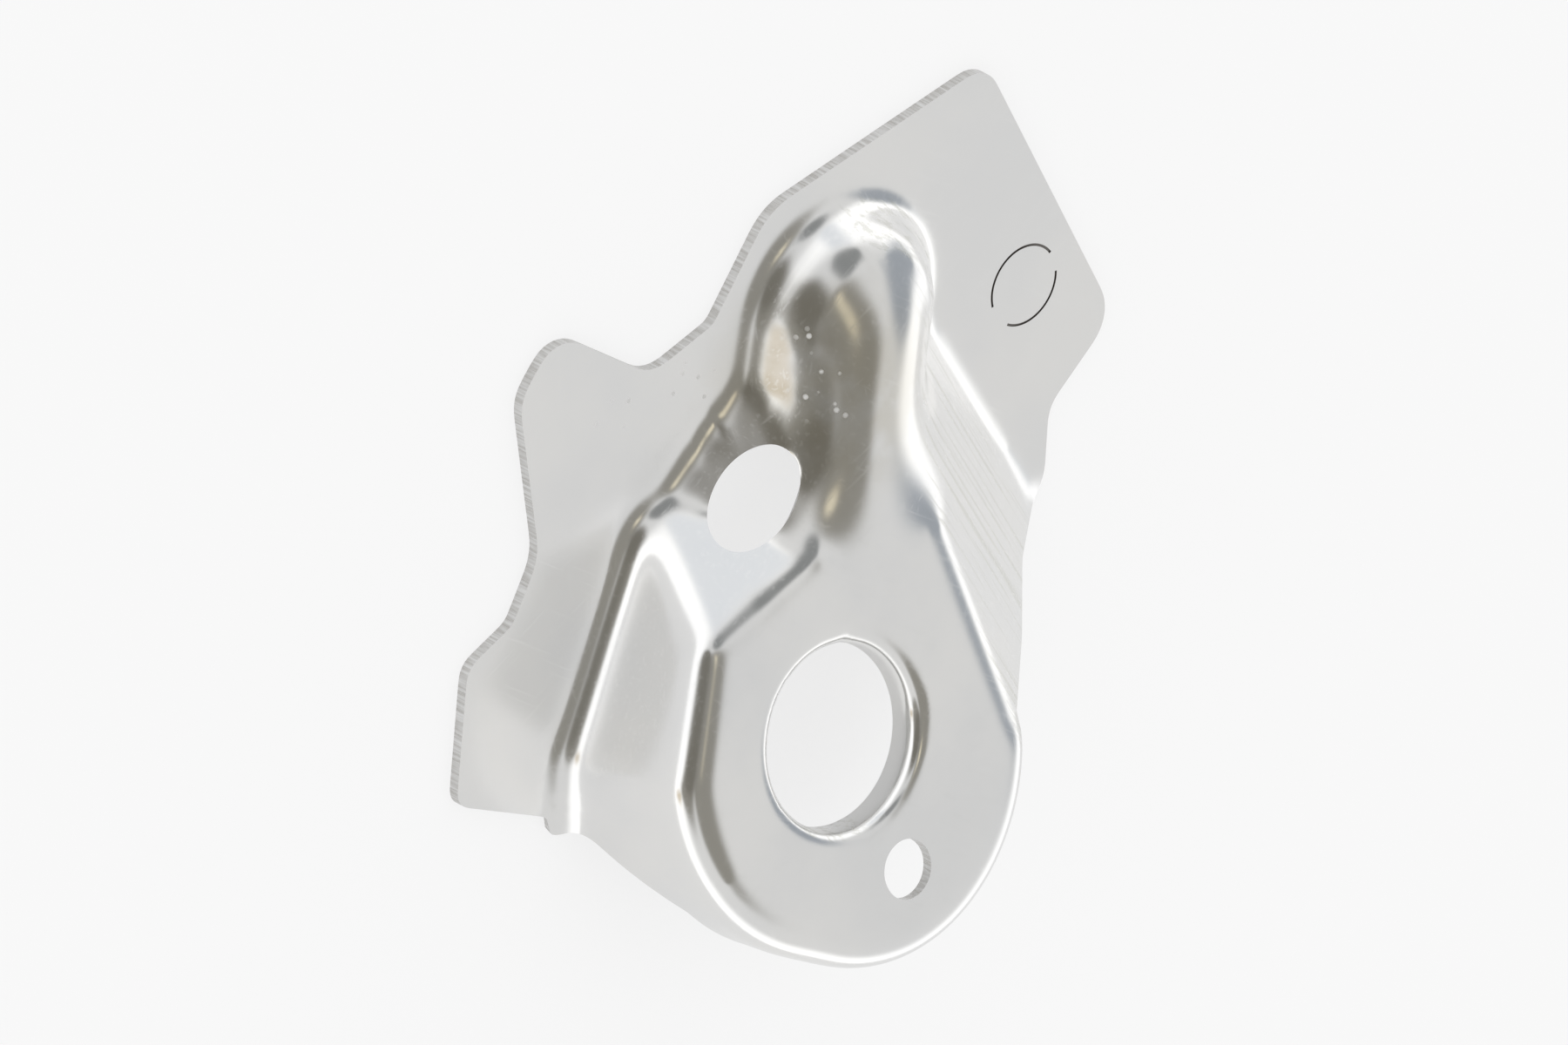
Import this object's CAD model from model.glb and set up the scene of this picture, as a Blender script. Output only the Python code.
import math

import bmesh
import bpy
from mathutils import Matrix, Vector
from mathutils.kdtree import KDTree


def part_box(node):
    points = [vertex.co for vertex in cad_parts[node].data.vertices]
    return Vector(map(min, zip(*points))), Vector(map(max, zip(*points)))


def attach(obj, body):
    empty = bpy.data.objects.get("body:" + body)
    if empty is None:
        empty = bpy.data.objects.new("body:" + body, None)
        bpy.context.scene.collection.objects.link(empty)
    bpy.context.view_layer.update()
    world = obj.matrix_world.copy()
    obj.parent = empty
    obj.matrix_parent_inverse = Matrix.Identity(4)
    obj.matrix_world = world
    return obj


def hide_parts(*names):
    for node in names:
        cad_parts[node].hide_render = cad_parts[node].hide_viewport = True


bl_info = {
    "name": "Stamped Bracket",
    "version": (1, 0, 0),
    "blender": (4, 5, 0),
    "location": "3D View > Sidebar > Bracket",
    "description": "Builds a one-piece stamped sheet bracket, its finish and its stage",
    "category": "Object",
}

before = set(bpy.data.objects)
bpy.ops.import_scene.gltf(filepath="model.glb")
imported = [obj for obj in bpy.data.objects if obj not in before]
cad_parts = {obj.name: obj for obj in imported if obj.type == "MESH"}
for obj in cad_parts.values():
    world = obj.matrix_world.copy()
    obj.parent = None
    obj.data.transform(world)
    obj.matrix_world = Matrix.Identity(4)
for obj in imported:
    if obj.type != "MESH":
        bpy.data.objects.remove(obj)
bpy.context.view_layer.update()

MM = 0.001

# --- places and sizes on the sheet ---------------------------------------------------------------
# points nearer than this are one point
WELD = 1e-6
# least Z in the normal of a level face
LEVEL = 0.999
# the least turn between two faces that counts as a sharp edge, and as a fold back on the skin
SHARP_TURN = math.radians(30)
FOLD_TURN = math.radians(75)
# the least turn that the rim's rounding takes in
RIM_TURN = math.radians(50)
# the large hole's axis passes through the origin; this is its direction and the seat's normal
SEAT_NORMAL = Vector((-0.037979, 0.216880, 0.975459))
# how far the collar's bend reaches from that axis
COLLAR_REACH = 15.5 * MM
# the ball within which the bead is eased further
BEAD_CENTRE = Vector((5, 46, -8)) * MM
BEAD_REACH = 24 * MM
# heights above which the bead is eased, each with its share of the passes: the foot stays steep
BEAD_STEPS = ((-13.5 * MM, 0.25), (-12 * MM, 0.35), (-10.5 * MM, 0.4))
# middle of the ring mark, and how far from there a free loop still belongs to it
RING_CENTRE = Vector((41.277, 48.905, -17.93)) * MM
RING_REACH = 8 * MM
# the groove: radius of its middle line, width and depth
RING_RADIUS = 5.5 * MM
RING_WIDTH = 0.35 * MM
RING_DEPTH = 0.2 * MM
# start and sweep of the ring mark's two arcs, in degrees, and the steps along each
RING_ARCS = ((45, 160), (250, 122))
RING_STEPS = 48
# a free loop shorter than this is a crack in the skin, and is closed
CRACK = 2 * MM
# skin vertices nearer than this after the remesh are merged
SLIVER = 0.25 * MM
# the remesher works best on large sizes, so the skin is scaled up for it
REMESH_SCALE = 100.0
REMESH_SEEDS = range(1, 5)
# passes that ease the skin once its edges have settled
SETTLED_PASSES = 2

# --- places and sizes in the finish --------------------------------------------------------------
# crest of the bead, the film's inner and outer reach there, and the turn that lays X along the bead
CREST_CENTRE = Vector((0, 44, -9)) * MM
FILM_REACH = (6 * MM, 20 * MM)
BEAD_TURN = math.radians(49.3)
# the way that the flank faces
FLANK_WAY = (0.758, 0.652, 0.0)
# middle and radius of the places with pits
STRUCK_PLACES = (
    (Vector((-2, 52.5, -11)) * MM, 4 * MM),
    (Vector((0, 45, -8.5)) * MM, 7 * MM),
    (Vector((-29, 44, -17.9)) * MM, 6 * MM),
    (Vector((-16, 44, -17.9)) * MM, 6 * MM),
    (Vector((18, 41, -9)) * MM, 5 * MM),
)
# share of that radius within which the pits show in full
STRUCK_CORE = 0.4
# scale of even noise, in waves to the metre
CLOUD_SCALE = 38.0
FILM_SCALE = 130.0
WAVE_SCALE = 160.0
GRIT_SCALE = 420.0
PIT_SCALE = 750.0
# scale of noise that is drawn out one way, in waves to the metre along X, Y and Z
DRAW_SCALE = (30, 1100, 1100)
SCRATCH_SCALE = (60, 1900, 1900)
GRAIN_SCALE = (120, 2600, 2600)
SHEAR_SCALE = (2600, 2600, 160)
# turn of the grain, and of each set of scratches with the noise level that its scratches stand on
GRAIN_TURN = 0.5
SCRATCH_SETS = ((0.4, 0.63), (1.3, 0.655), (-0.7, 0.65), (2.2, 0.66))
# how far above that level a scratch starts to show, and shows in full
SCRATCH_START = 0.03
SCRATCH_END = 0.06
# radius of a pit as a share of its cell
PIT_SIZE = 0.34
# a cell's random number from which its pit starts to show, and shows in full
PIT_PICK = (0.6, 0.65)
# where an effect starts and ends: on the normal's share of a direction, or on noise
WALL_STEEPNESS = (0.93, 0.80)
FLANK_FACING = (0.25, 0.5)
CLOUD_TONE = (0.35, 0.65)
CLOUD_GLOSS = (0.3, 0.7)
FILM_CLOUD = (0.25, 0.6)
DRAW_LINES = (0.48, 0.66)
SHEAR_TONE = (0.3, 0.75)
SHEAR_GLOSS = (0.3, 0.7)
# how much of each effect goes into the colour, the roughness and the relief
FILM_TONE = 0.8
STREAK_TONE = 0.55
MARK_TONE = 0.8
GRIT_ROUGHNESS = 0.05
MARK_ROUGHNESS = 0.5
STREAK_ROUGHNESS = 0.08
GRAIN_RELIEF = 0.15
WAVE_RELIEF = 0.8
MARK_RELIEF = -0.8
STREAK_RELIEF = 0.6
# what the clouds, and the lines in the sheared edge, add to the mean roughness at either end
CLOUD_ROUGHNESS = (-0.03, 0.05)
SHEAR_ROUGHNESS = (0.10, 0.25)
RELIEF_DEPTH = 0.01 * MM
PLATE_RELIEF = 0.5
SHEAR_RELIEF = 0.4
# depths in the ring mark at which its dirt starts and is full, and the reach round it
DIRT_DEPTH = (0.02 * MM, 0.1 * MM)
DIRT_REACH = (6.0 * MM, 6.2 * MM)

# --- places and sizes on the stage ---------------------------------------------------------------
# the camera's own axes, the point at the middle of its view, and its distance from there
VIEW_RIGHT = Vector((0.7279, 0.1423, 0.6708))
VIEW_UP = Vector((0.1423, 0.9256, -0.3507))
VIEW_BACK = Vector((-0.6708, 0.3507, 0.6535))
VIEW_CENTRE = Vector((7.417, 20.315, -20.710)) * MM
VIEW_DISTANCE = 0.8
# underside of the flat base
FLOOR_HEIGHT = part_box("bracket")[0].z
# from the middle of the floor to each side
FLOOR_SIZE = 4.0
# share of the floor's plain white that is left in reflections
FLOOR_MIRRORED = 0.5
# heights between which the low tent gives way to the high one
TENT_CHANGE = (0.26, 0.56)
# ray depth that the tent reads in a first reflection, and in a second
REFLECTIONS = (2.0, 3.0)
# share of the panels, and of the inner tent, in a first and in a second reflection
PANEL_SHARES = (1.0, 0.15)
INNER_SHARES = (0.0, 0.8)
# panels of the tent: azimuth, elevation, inner and outer radius in degrees, colour
PANELS = (
    (0, 90, 20, 33, (0.30, 0.29, 0.26)),
    (185, 40, 16, 26, (0.28, 0.27, 0.24)),
    (85, 45, 9, 17, (0.25, 0.26, 0.26)),
    (160, 46, 13, 28, (0.19, 0.18, 0.155)),
    (87, 16, 4, 14, (0.86, 0.89, 0.93)),
    (14, 28, 9, 23, (0.38, 0.41, 0.45)),
    (104, 76, 2, 7, (0.95, 0.86, 0.66)),
    (198, 12, 3, 9, (0.75, 0.65, 0.50)),
)


# --- settings ------------------------------------------------------------------------------------
class BracketSheetSettings(bpy.types.PropertyGroup):
    """Sizes of the sheet."""

    gauge: bpy.props.FloatProperty(
        name="Gauge", description="Thickness of the sheet", default=1.5 * MM,
        subtype="DISTANCE", unit="LENGTH",
    )
    quads: bpy.props.IntProperty(
        name="Quads", description="Number of quads in the skin before it is smoothed",
        default=9000, min=1000,
    )
    softening: bpy.props.IntProperty(
        name="Softening", description="Passes that ease the drawn bends", default=3, min=0
    )
    bead_softening: bpy.props.IntProperty(
        name="Bead softening", description="Further passes that round the bead", default=120, min=0
    )
    rim: bpy.props.FloatProperty(
        name="Rim", description="Rounding of the sheared edges", default=0.12 * MM,
        subtype="DISTANCE", unit="LENGTH",
    )


class BracketFinishSettings(bpy.types.PropertyGroup):
    """Colour and gloss of the plated metal."""

    metal: bpy.props.FloatVectorProperty(
        name="Metal", description="Reflection colour of the plating",
        default=(0.82, 0.815, 0.80), subtype="COLOR", size=3,
    )
    metal_shade: bpy.props.FloatVectorProperty(
        name="Metal shade", description="Reflection colour where the plating is duller",
        default=(0.785, 0.785, 0.78), subtype="COLOR", size=3,
    )
    film: bpy.props.FloatVectorProperty(
        name="Film", description="Colour of the oily film on the bead",
        default=(0.66, 0.635, 0.57), subtype="COLOR", size=3,
    )
    streak: bpy.props.FloatVectorProperty(
        name="Draw lines", description="Colour of the draw lines on the flank",
        default=(0.60, 0.60, 0.55), subtype="COLOR", size=3,
    )
    edge: bpy.props.FloatVectorProperty(
        name="Sheared edge", description="Colour of the sheared edges",
        default=(0.56, 0.55, 0.53), subtype="COLOR", size=3,
    )
    dirt: bpy.props.FloatVectorProperty(
        name="Dirt", description="Colour in the groove of the ring mark",
        default=(0.16, 0.15, 0.14), subtype="COLOR", size=3,
    )
    bare: bpy.props.FloatVectorProperty(
        name="Bare metal", description="Colour of scratches and pits",
        default=(0.93, 0.93, 0.92), subtype="COLOR", size=3,
    )
    scratches: bpy.props.FloatProperty(
        name="Scratches", description="Strength of the fine scratches",
        default=0.10, min=0.0, max=1.0,
    )
    roughness: bpy.props.FloatProperty(
        name="Roughness", description="Mean roughness of the plating",
        default=0.14, min=0.0, max=1.0,
    )


class BracketStageSettings(bpy.types.PropertyGroup):
    """Camera and surroundings."""

    view_width: bpy.props.FloatProperty(
        name="View width", description="Width that the camera takes in", default=0.2,
        subtype="DISTANCE", unit="LENGTH",
    )
    floor: bpy.props.FloatVectorProperty(
        name="Floor", description="Colour of the floor",
        default=(0.9, 0.9, 0.9), subtype="COLOR", size=3,
    )
    floor_lift: bpy.props.FloatProperty(
        name="Floor lift", description="Share of plain white in the floor where it is seen",
        default=0.7, min=0.0, max=1.0,
    )
    low_tent: bpy.props.FloatVectorProperty(
        name="Low tent", description="Light of the tent near the floor",
        default=(1.35, 1.35, 1.35), subtype="COLOR", size=3, soft_max=2.0,
    )
    high_tent: bpy.props.FloatVectorProperty(
        name="High tent", description="Light of the tent overhead",
        default=(0.80, 0.80, 0.80), subtype="COLOR", size=3,
    )
    inner_tent: bpy.props.FloatVectorProperty(
        name="Inner tent", description="Light of the tent in second reflections",
        default=(1.12, 1.12, 1.13), subtype="COLOR", size=3, soft_max=2.0,
    )
    panel_light: bpy.props.FloatProperty(
        name="Panel light", description="Brightness of the panels in the tent",
        default=1.0, min=0.0, max=4.0,
    )


# --- the sheet -----------------------------------------------------------------------------------
def upper_skin(source):
    """The upper skin of a sheet: what is reached from its base without passing a sharp edge."""
    mesh = bmesh.new()
    mesh.from_mesh(source.data)
    bmesh.ops.remove_doubles(mesh, verts=mesh.verts, dist=WELD)
    level = [face for face in mesh.faces if face.normal.z > LEVEL]
    base = max(level, key=lambda face: face.calc_area())
    reached = {base}
    waiting = [base]
    while waiting:
        face = waiting.pop()
        for edge in face.edges:
            for other in edge.link_faces:
                if other not in reached and face.normal.angle(other.normal) < SHARP_TURN:
                    reached.add(other)
                    waiting.append(other)
    spare = [face for face in mesh.faces if face not in reached]
    bmesh.ops.delete(mesh, geom=spare, context="FACES")
    return mesh


def free_loops(mesh):
    """The free edges of a skin, one list for each loop, in the mesh's own order."""
    left = {edge: None for edge in mesh.edges if edge.is_boundary}
    loops = []
    while left:
        loop = [next(iter(left))]
        del left[loop[0]]
        for edge in loop:
            for vert in edge.verts:
                for other in vert.link_edges:
                    if other in left:
                        del left[other]
                        loop.append(other)
        loops.append(loop)
    return loops


def close_marks(mesh):
    """Closes the ring mark's groove and any crack. The outline and the holes stay open."""
    for loop in free_loops(mesh):
        length = sum(edge.calc_length() for edge in loop)
        points = [vert.co for edge in loop for vert in edge.verts]
        middle = sum(points, Vector()) / len(points)
        if length < CRACK or (middle - RING_CENTRE).length < RING_REACH:
            bmesh.ops.triangle_fill(mesh, edges=loop, use_beauty=True)
    bmesh.ops.triangulate(mesh, faces=mesh.faces)


def edge_tree(mesh, step=0.05 * MM):
    """Search tree of close points along the free edges of a skin."""
    points = []
    for edge in mesh.edges:
        if edge.is_boundary:
            start, end = (vert.co.copy() for vert in edge.verts)
            count = max(1, int((end - start).length / step))
            points += [start.lerp(end, number / count) for number in range(count)]
    tree = KDTree(len(points))
    for number, point in enumerate(points):
        tree.insert(point, number)
    tree.balance()
    return tree


def ease(mesh, verts, passes):
    """Moves vertices halfway to the middle of their neighbours, a number of times."""
    for _ in range(passes):
        bmesh.ops.smooth_vert(
            mesh, verts=verts, factor=0.5, use_axis_x=True, use_axis_y=True, use_axis_z=True
        )


def settle_edges(mesh, tree, passes=4):
    """Spaces the free edges evenly, and holds them on the sheared line that the tree gives."""
    rim = [vert for vert in mesh.verts if vert.is_boundary]
    for _ in range(passes):
        for vert in rim:
            vert.co = tree.find(vert.co)[0]
        ease(mesh, rim, 1)
    for vert in rim:
        vert.co = tree.find(vert.co)[0]


def folds(mesh):
    """The edges over which a skin turns back on itself."""
    mesh.normal_update()
    return [
        edge for edge in mesh.edges
        if edge.is_manifold
        and edge.link_faces[0].normal.angle(edge.link_faces[1].normal, math.pi) > FOLD_TURN
    ]


def resize(mesh, factor):
    """Scales a mesh about the origin."""
    bmesh.ops.scale(mesh, verts=mesh.verts, vec=(factor, factor, factor))


def even_quads(context, mesh, count):
    """The same surface in even quads, from the first seed that leaves no fold."""
    tree = edge_tree(mesh)
    resize(mesh, REMESH_SCALE)
    data = bpy.data.meshes.new("bracket_sheet")
    sheet = bpy.data.objects.new("bracket_sheet", data)
    context.scene.collection.objects.link(sheet)
    context.view_layer.objects.active = sheet
    sheet.select_set(True)
    for seed in REMESH_SEEDS:
        mesh.to_mesh(data)
        bpy.ops.object.quadriflow_remesh(
            use_preserve_sharp=False, use_preserve_boundary=True, mode="FACES",
            target_faces=count, seed=seed,
        )
        skin = bmesh.new()
        skin.from_mesh(sheet.data)
        resize(skin, 1 / REMESH_SCALE)
        settle_edges(skin, tree)
        bmesh.ops.remove_doubles(skin, verts=skin.verts, dist=SLIVER)
        settle_edges(skin, tree)
        inside = [vert for vert in skin.verts if not vert.is_boundary and off_collar(vert)]
        ease(skin, inside, SETTLED_PASSES)
        if not folds(skin):
            break
    mesh.free()
    return sheet, skin


def off_collar(vert):
    """Whether a vertex lies outside the collar round the large hole."""
    return (vert.co - SEAT_NORMAL * vert.co.dot(SEAT_NORMAL)).length > COLLAR_REACH


def soften(mesh, passes, lowest=-1.0, keep_off=False):
    """Eases the bead above a height, or all but the bead, and never the collar or a free edge."""
    chosen = [
        vert for vert in mesh.verts
        if not vert.is_boundary
        and off_collar(vert)
        and vert.co.z > lowest
        and ((vert.co - BEAD_CENTRE).length > BEAD_REACH) == keep_off
    ]
    ease(mesh, chosen, passes)


def ring_cutter():
    """Two bent bars that stand in the groove of the ring mark."""
    mesh = bmesh.new()
    inner, outer = RING_RADIUS - RING_WIDTH / 2, RING_RADIUS + RING_WIDTH / 2
    corners = (
        (inner, -RING_DEPTH), (outer, -RING_DEPTH), (outer, RING_DEPTH), (inner, RING_DEPTH),
    )
    for start, sweep in RING_ARCS:
        verts = [mesh.verts.new(RING_CENTRE + Vector((out, 0, up))) for out, up in corners]
        end = mesh.faces.new(verts)
        bmesh.ops.rotate(
            mesh, verts=verts, cent=RING_CENTRE,
            matrix=Matrix.Rotation(math.radians(start), 3, "Z"),
        )
        bmesh.ops.spin(
            mesh, geom=[end], cent=RING_CENTRE, axis=(0, 0, 1),
            angle=math.radians(sweep), steps=RING_STEPS,
        )
    bmesh.ops.recalc_face_normals(mesh, faces=mesh.faces)
    data = bpy.data.meshes.new("ring_cutter")
    mesh.to_mesh(data)
    mesh.free()
    return bpy.data.objects.new("ring_cutter", data)


def add_modifier(piece, kind, **values):
    """Puts a modifier with its settings on a piece."""
    modifier = piece.modifiers.new(kind.lower(), kind)
    for name, value in values.items():
        setattr(modifier, name, value)


def keep_shape(context, piece):
    """Puts what the modifiers make into the piece's own mesh."""
    context.view_layer.update()
    shown = piece.evaluated_get(context.evaluated_depsgraph_get())
    made = bpy.data.meshes.new_from_object(shown)
    piece.modifiers.clear()
    piece.data = made


class BRACKET_OT_sheet(bpy.types.Operator):
    """Builds the bracket's sheet from the part's upper skin"""

    bl_idname = "bracket.sheet"
    bl_label = "Build sheet"

    def execute(self, context):
        sizes = context.scene.bracket_sheet
        finish = context.scene.bracket_finish
        skin = upper_skin(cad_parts["bracket"])
        close_marks(skin)
        sheet, skin = even_quads(context, skin, sizes.quads)
        soften(skin, sizes.softening, keep_off=True)
        for height, share in BEAD_STEPS:
            soften(skin, int(share * sizes.bead_softening), height)
        for face in skin.faces:
            face.smooth = True
        skin.to_mesh(sheet.data)
        skin.free()
        sheet.data.materials.append(plated_metal(finish))
        sheet.data.materials.append(sheared_metal(finish))
        add_modifier(sheet, "SUBSURF", levels=1, render_levels=1)
        add_modifier(
            sheet, "SOLIDIFY", thickness=sizes.gauge, offset=-1, use_even_offset=True,
            material_offset_rim=1,
        )
        add_modifier(
            sheet, "BEVEL", width=sizes.rim, segments=2, limit_method="ANGLE",
            angle_limit=RIM_TURN, harden_normals=True,
        )
        cutter = ring_cutter()
        context.scene.collection.objects.link(cutter)
        add_modifier(sheet, "BOOLEAN", object=cutter, operation="DIFFERENCE", solver="EXACT")
        keep_shape(context, sheet)
        bpy.data.objects.remove(cutter)
        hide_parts("bracket")
        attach(sheet, "root")
        return {"FINISHED"}


# --- the finish ----------------------------------------------------------------------------------
def add_node(tree, kind, inputs=(), **values):
    """A node with its settings. Each input is given a value, or the socket that feeds it."""
    node = tree.nodes.new(kind)
    for name, value in values.items():
        setattr(node, name, value)
    for name, value in dict(inputs).items():
        if isinstance(value, bpy.types.NodeSocket):
            tree.links.new(value, node.inputs[name])
        else:
            node.inputs[name].default_value = value
    return node


def fresh_tree(owner):
    """The emptied node tree of a material or world."""
    owner.use_nodes = True
    owner.node_tree.nodes.clear()
    return owner.node_tree


def math_node(tree, operation, first, second):
    """The outcome of one sum on two numbers or sockets."""
    return add_node(tree, "ShaderNodeMath", {0: first, 1: second}, operation=operation).outputs[0]


def product(tree, first, second):
    """One number or socket times another."""
    return math_node(tree, "MULTIPLY", first, second)


def with_shares(tree, value, *shares):
    """A number with others added to it, each given with its factor."""
    for part, factor in shares:
        value = math_node(tree, "ADD", value, product(tree, part, factor))
    return value


def along(tree, first, second):
    """The dot product of two directions or sockets."""
    pair = {0: first, 1: second}
    return add_node(tree, "ShaderNodeVectorMath", pair, operation="DOT_PRODUCT").outputs["Value"]


def ramp_node(tree, value, start, end, low=0.0, high=1.0, smooth=True):
    """A number that goes from low to high as another goes from start to end."""
    node = add_node(
        tree,
        "ShaderNodeMapRange",
        {"Value": value, "From Min": start, "From Max": end, "To Min": low, "To Max": high},
        interpolation_type="SMOOTHSTEP" if smooth else "LINEAR",
    )
    return node.outputs[0]


def blend_colours(tree, factor, first, second):
    """A colour between two others."""
    node = tree.nodes.new("ShaderNodeMix")
    node.data_type = "RGBA"
    # the colour sockets of this node come after those of its other data types
    inputs = ((node.inputs[0], factor), (node.inputs[6], first), (node.inputs[7], second))
    for socket, value in inputs:
        if isinstance(value, bpy.types.NodeSocket):
            tree.links.new(value, socket)
        elif isinstance(value, float):
            socket.default_value = value
        else:
            socket.default_value = (*value, 1.0)
    return node.outputs[2]


def noise_node(tree, place, scale, detail=3.0, roughness=0.5):
    """Soft noise of a size on the given coordinates, from 0 to 1."""
    return add_node(
        tree,
        "ShaderNodeTexNoise",
        {"Vector": place, "Scale": scale, "Detail": detail, "Roughness": roughness},
    ).outputs[0]


def near(tree, place, centre, inner, outer):
    """1 within the inner radius of a point, falling to 0 at the outer one."""
    gap = add_node(tree, "ShaderNodeVectorMath", {0: place, 1: centre}, operation="DISTANCE")
    return ramp_node(tree, gap.outputs["Value"], outer, inner)


def drawn_noise(tree, place, angle, scale, detail, roughness=0.5):
    """Noise that is drawn out one way: on coordinates turned about Z and then scaled."""
    turn = add_node(tree, "ShaderNodeMapping", {"Vector": place, "Rotation": (0, 0, angle)})
    spread = add_node(tree, "ShaderNodeMapping", {"Vector": turn.outputs[0], "Scale": scale})
    return noise_node(tree, spread.outputs[0], 1.0, detail, roughness)


def specks(tree, place, scale, size):
    """Small round spots, most of them left out at random."""
    cells = add_node(tree, "ShaderNodeTexVoronoi", {"Vector": place, "Scale": scale})
    dots = ramp_node(tree, cells.outputs["Distance"], size, 0.5 * size)
    kept = add_node(tree, "ShaderNodeSeparateColor", {0: cells.outputs["Color"]})
    return product(tree, dots, ramp_node(tree, kept.outputs[0], *PIT_PICK))


def start_metal(name):
    """A new material, its empty tree, and the coordinates on the piece."""
    material = bpy.data.materials.new(name)
    tree = fresh_tree(material)
    return material, tree, tree.nodes.new("ShaderNodeTexCoord").outputs["Object"]


def end_metal(tree, tone, roughness, height, strength):
    """Makes bare metal of the colour, the roughness and the relief what the material shows."""
    relief = add_node(
        tree, "ShaderNodeBump", {"Strength": strength, "Distance": RELIEF_DEPTH, "Height": height}
    )
    metal = add_node(
        tree,
        "ShaderNodeBsdfPrincipled",
        {"Metallic": 1.0, "Base Color": tone, "Roughness": roughness, "Normal": relief.outputs[0]},
    )
    add_node(tree, "ShaderNodeOutputMaterial", {"Surface": metal.outputs[0]})


def rough_ramp(tree, value, span, mean, added):
    """The mean roughness, with an addition that changes as a value crosses a span."""
    return ramp_node(tree, value, *span, mean + added[0], mean + added[1], False)


def plated_metal(finish):
    """Bright plated sheet: near-mirror, with rolling grain, draw lines on the flank, and wear."""
    material, tree, place = start_metal("plated_sheet")
    lie = tree.nodes.new("ShaderNodeNewGeometry").outputs["True Normal"]
    steepness = math_node(tree, "ABSOLUTE", along(tree, lie, (0, 0, 1)), 0.0)

    # slow change of colour over the whole sheet
    cloud = noise_node(tree, place, CLOUD_SCALE, 4.0)
    shade = ramp_node(tree, cloud, *CLOUD_TONE)
    tone = blend_colours(tree, shade, finish.metal, finish.metal_shade)

    # oily film on the crest of the bead
    patches = ramp_node(tree, noise_node(tree, place, FILM_SCALE), *FILM_CLOUD)
    film = product(tree, near(tree, place, CREST_CENTRE, *FILM_REACH), patches)
    tone = blend_colours(tree, product(tree, film, FILM_TONE), tone, finish.film)

    # draw lines on the flank, along the bead
    flank = ramp_node(tree, along(tree, lie, FLANK_WAY), *FLANK_FACING)
    wall = product(tree, ramp_node(tree, steepness, *WALL_STEEPNESS), flank)
    lines = drawn_noise(tree, place, BEAD_TURN, DRAW_SCALE, 3.0, 0.6)
    streaks = product(tree, wall, ramp_node(tree, lines, *DRAW_LINES))
    tone = blend_colours(tree, product(tree, streaks, STREAK_TONE), tone, finish.streak)

    # scratches in a few directions, and pits where the bead and the plate were struck
    scratches = 0.0
    for angle, level in SCRATCH_SETS:
        drawn = drawn_noise(tree, place, angle, SCRATCH_SCALE, 1.0)
        drawn = ramp_node(tree, drawn, level + SCRATCH_START, level + SCRATCH_END)
        scratches = math_node(tree, "MAXIMUM", scratches, drawn)
    struck = 0.0
    for centre, reach in STRUCK_PLACES:
        spot = near(tree, place, centre, STRUCK_CORE * reach, reach)
        struck = math_node(tree, "MAXIMUM", struck, spot)
    pits = product(tree, specks(tree, place, PIT_SCALE, PIT_SIZE), struck)
    marks = math_node(tree, "MAXIMUM", product(tree, scratches, finish.scratches), pits)
    tone = blend_colours(tree, product(tree, marks, MARK_TONE), tone, finish.bare)

    # dirt in the groove of the ring mark
    height = add_node(tree, "ShaderNodeSeparateXYZ", {0: place}).outputs["Z"]
    groove = ramp_node(tree, height, *(RING_CENTRE.z - depth for depth in DIRT_DEPTH))
    groove = product(tree, groove, near(tree, place, RING_CENTRE, *DIRT_REACH))
    tone = blend_colours(tree, groove, tone, finish.dirt)

    roughness = with_shares(
        tree,
        rough_ramp(tree, cloud, CLOUD_GLOSS, finish.roughness, CLOUD_ROUGHNESS),
        (noise_node(tree, place, GRIT_SCALE, 2.0), GRIT_ROUGHNESS),
        (marks, MARK_ROUGHNESS),
        (streaks, STREAK_ROUGHNESS),
    )
    relief = with_shares(
        tree,
        product(tree, drawn_noise(tree, place, GRAIN_TURN, GRAIN_SCALE, 2.0), GRAIN_RELIEF),
        (noise_node(tree, place, WAVE_SCALE, 2.0), WAVE_RELIEF),
        (marks, MARK_RELIEF),
        (streaks, STREAK_RELIEF),
    )
    end_metal(tree, tone, roughness, relief, PLATE_RELIEF)
    return material


def sheared_metal(finish):
    """Sheared edge of the sheet: duller than its faces, with fine lines through the gauge."""
    material, tree, place = start_metal("sheared_edge")
    lines = drawn_noise(tree, place, 0.0, SHEAR_SCALE, 2.0)
    shade = ramp_node(tree, lines, *SHEAR_TONE)
    tone = blend_colours(tree, shade, finish.edge, finish.metal_shade)
    roughness = rough_ramp(tree, lines, SHEAR_GLOSS, finish.roughness, SHEAR_ROUGHNESS)
    end_metal(tree, tone, roughness, lines, SHEAR_RELIEF)
    return material


# --- the stage -----------------------------------------------------------------------------------
def heading(azimuth, elevation):
    """Direction of an azimuth and elevation in degrees."""
    flat = math.cos(math.radians(elevation))
    return Vector(
        (
            flat * math.cos(math.radians(azimuth)),
            flat * math.sin(math.radians(azimuth)),
            math.sin(math.radians(elevation)),
        )
    )


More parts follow.
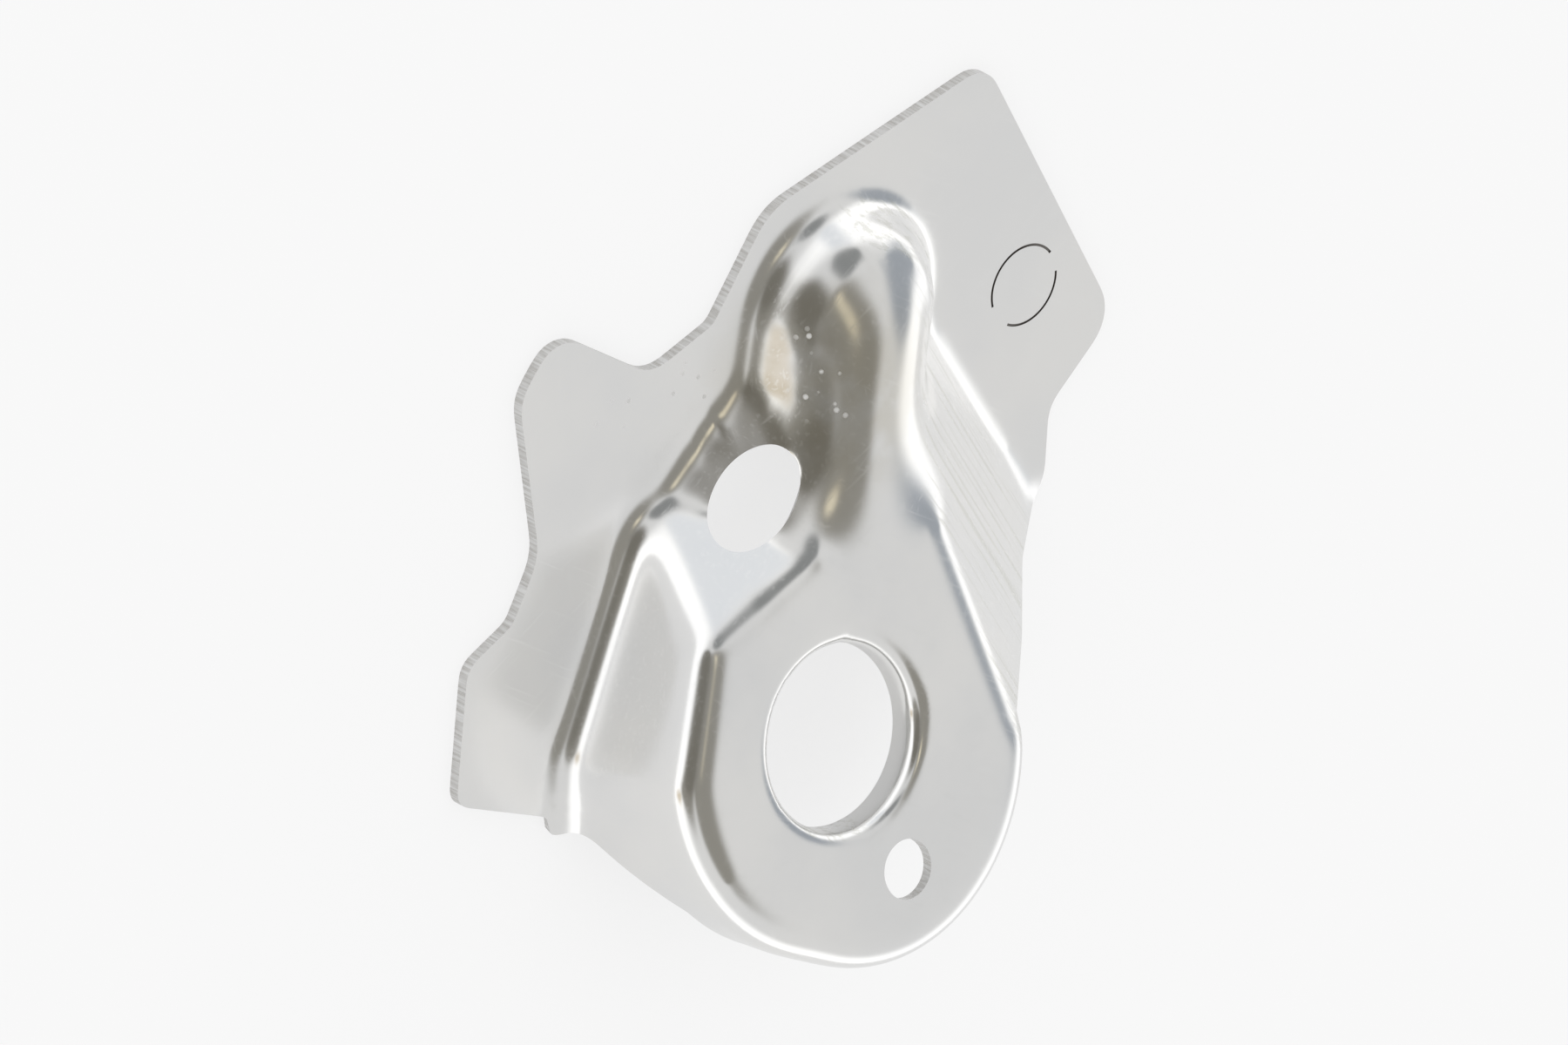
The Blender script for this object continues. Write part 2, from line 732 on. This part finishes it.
def surroundings(scene, stage):
    """White tent, brightest low down, with panels that show in the metal only."""
    world = bpy.data.worlds.new("studio")
    scene.world = world
    tree = fresh_tree(world)
    rays = tree.nodes.new("ShaderNodeLightPath").outputs
    way = tree.nodes.new("ShaderNodeTexCoord").outputs["Generated"]
    height = add_node(tree, "ShaderNodeSeparateXYZ", {0: way}).outputs["Z"]
    change = ramp_node(tree, height, *TENT_CHANGE)
    glow = blend_colours(tree, change, stage.low_tent, stage.high_tent)
    # a second reflection sees a lighter tent, and little of the panels
    panel_share, inner_share = (
        product(
            tree,
            ramp_node(tree, rays["Ray Depth"], *REFLECTIONS, *shares, False),
            rays["Is Glossy Ray"],
        )
        for shares in (PANEL_SHARES, INNER_SHARES)
    )
    glow = blend_colours(tree, inner_share, glow, stage.inner_tent)
    for azimuth, elevation, inner, outer, colour in PANELS:
        facing = along(tree, way, heading(azimuth, elevation))
        rim, core = (math.cos(math.radians(radius)) for radius in (outer, inner))
        panel = product(tree, ramp_node(tree, facing, rim, core), panel_share)
        light = tuple(channel * stage.panel_light for channel in colour)
        glow = blend_colours(tree, panel, glow, light)
    tent = add_node(tree, "ShaderNodeBackground", {"Color": glow})
    paper = add_node(tree, "ShaderNodeBackground", {"Color": (1, 1, 1, 1)})
    pick = add_node(
        tree,
        "ShaderNodeMixShader",
        {0: rays["Is Camera Ray"], 1: tent.outputs[0], 2: paper.outputs[0]},
    )
    add_node(tree, "ShaderNodeOutputWorld", {"Surface": pick.outputs[0]})


def floor_finish(stage):
    """Matt white paper, lifted a little where it is looked at so that it reads as white."""
    material = bpy.data.materials.new("floor")
    tree = fresh_tree(material)
    rays = tree.nodes.new("ShaderNodeLightPath").outputs
    seen = product(tree, rays["Is Camera Ray"], stage.floor_lift)
    mirrored = product(tree, rays["Is Glossy Ray"], FLOOR_MIRRORED * stage.floor_lift)
    lift = math_node(tree, "ADD", seen, mirrored)
    matt = add_node(tree, "ShaderNodeBsdfDiffuse", {"Color": (*stage.floor, 1)})
    glow = add_node(tree, "ShaderNodeEmission", {"Color": (1, 1, 1, 1), "Strength": 1.0})
    both = add_node(
        tree, "ShaderNodeMixShader", {0: lift, 1: matt.outputs[0], 2: glow.outputs[0]}
    )
    add_node(tree, "ShaderNodeOutputMaterial", {"Surface": both.outputs[0]})
    return material


class BRACKET_OT_stage(bpy.types.Operator):
    """Sets up the floor, the surroundings and the camera"""

    bl_idname = "bracket.stage"
    bl_label = "Set stage"

    def execute(self, context):
        scene = context.scene
        stage = scene.bracket_stage
        grid = bmesh.new()
        bmesh.ops.create_grid(grid, x_segments=1, y_segments=1, size=FLOOR_SIZE)
        bmesh.ops.translate(grid, verts=grid.verts, vec=(0, 0, FLOOR_HEIGHT))
        mesh = bpy.data.meshes.new("floor")
        grid.to_mesh(mesh)
        grid.free()
        floor = bpy.data.objects.new("floor", mesh)
        scene.collection.objects.link(floor)
        mesh.materials.append(floor_finish(stage))
        surroundings(scene, stage)
        lens = bpy.data.cameras.new("camera")
        lens.type = "ORTHO"
        lens.ortho_scale = stage.view_width
        camera = bpy.data.objects.new("camera", lens)
        turn = Matrix((VIEW_RIGHT, VIEW_UP, VIEW_BACK)).transposed().to_4x4()
        place = VIEW_CENTRE + VIEW_BACK * VIEW_DISTANCE
        camera.matrix_world = Matrix.Translation(place) @ turn
        scene.collection.objects.link(camera)
        scene.camera = camera
        scene.view_settings.view_transform = "Standard"
        return {"FINISHED"}


# --- sidebar and start ---------------------------------------------------------------------------
class BRACKET_PT_sidebar(bpy.types.Panel):
    """Lists the bracket's settings and steps"""

    bl_label = "Bracket"
    bl_idname = "BRACKET_PT_sidebar"
    bl_space_type = "VIEW_3D"
    bl_region_type = "UI"
    bl_category = "Bracket"

    def draw(self, context):
        for group in ("bracket_sheet", "bracket_finish", "bracket_stage"):
            settings = getattr(context.scene, group)
            box = self.layout.box()
            for name in settings.bl_rna.properties.keys():
                if name not in ("rna_type", "name"):
                    box.prop(settings, name)
        for step in (BRACKET_OT_sheet, BRACKET_OT_stage):
            self.layout.operator(step.bl_idname)


CLASSES = (
    BracketSheetSettings,
    BracketFinishSettings,
    BracketStageSettings,
    BRACKET_OT_sheet,
    BRACKET_OT_stage,
    BRACKET_PT_sidebar,
)


def register():
    """Makes the settings, steps and panel known."""
    for kind in CLASSES:
        bpy.utils.register_class(kind)
    bpy.types.Scene.bracket_sheet = bpy.props.PointerProperty(type=BracketSheetSettings)
    bpy.types.Scene.bracket_finish = bpy.props.PointerProperty(type=BracketFinishSettings)
    bpy.types.Scene.bracket_stage = bpy.props.PointerProperty(type=BracketStageSettings)


def unregister():
    """Takes the settings, steps and panel away again."""
    del bpy.types.Scene.bracket_stage
    del bpy.types.Scene.bracket_finish
    del bpy.types.Scene.bracket_sheet
    for kind in reversed(CLASSES):
        bpy.utils.unregister_class(kind)


def main():
    """Builds everything."""
    register()
    bpy.ops.bracket.sheet()
    bpy.ops.bracket.stage()


if __name__ == "__main__":
    main()
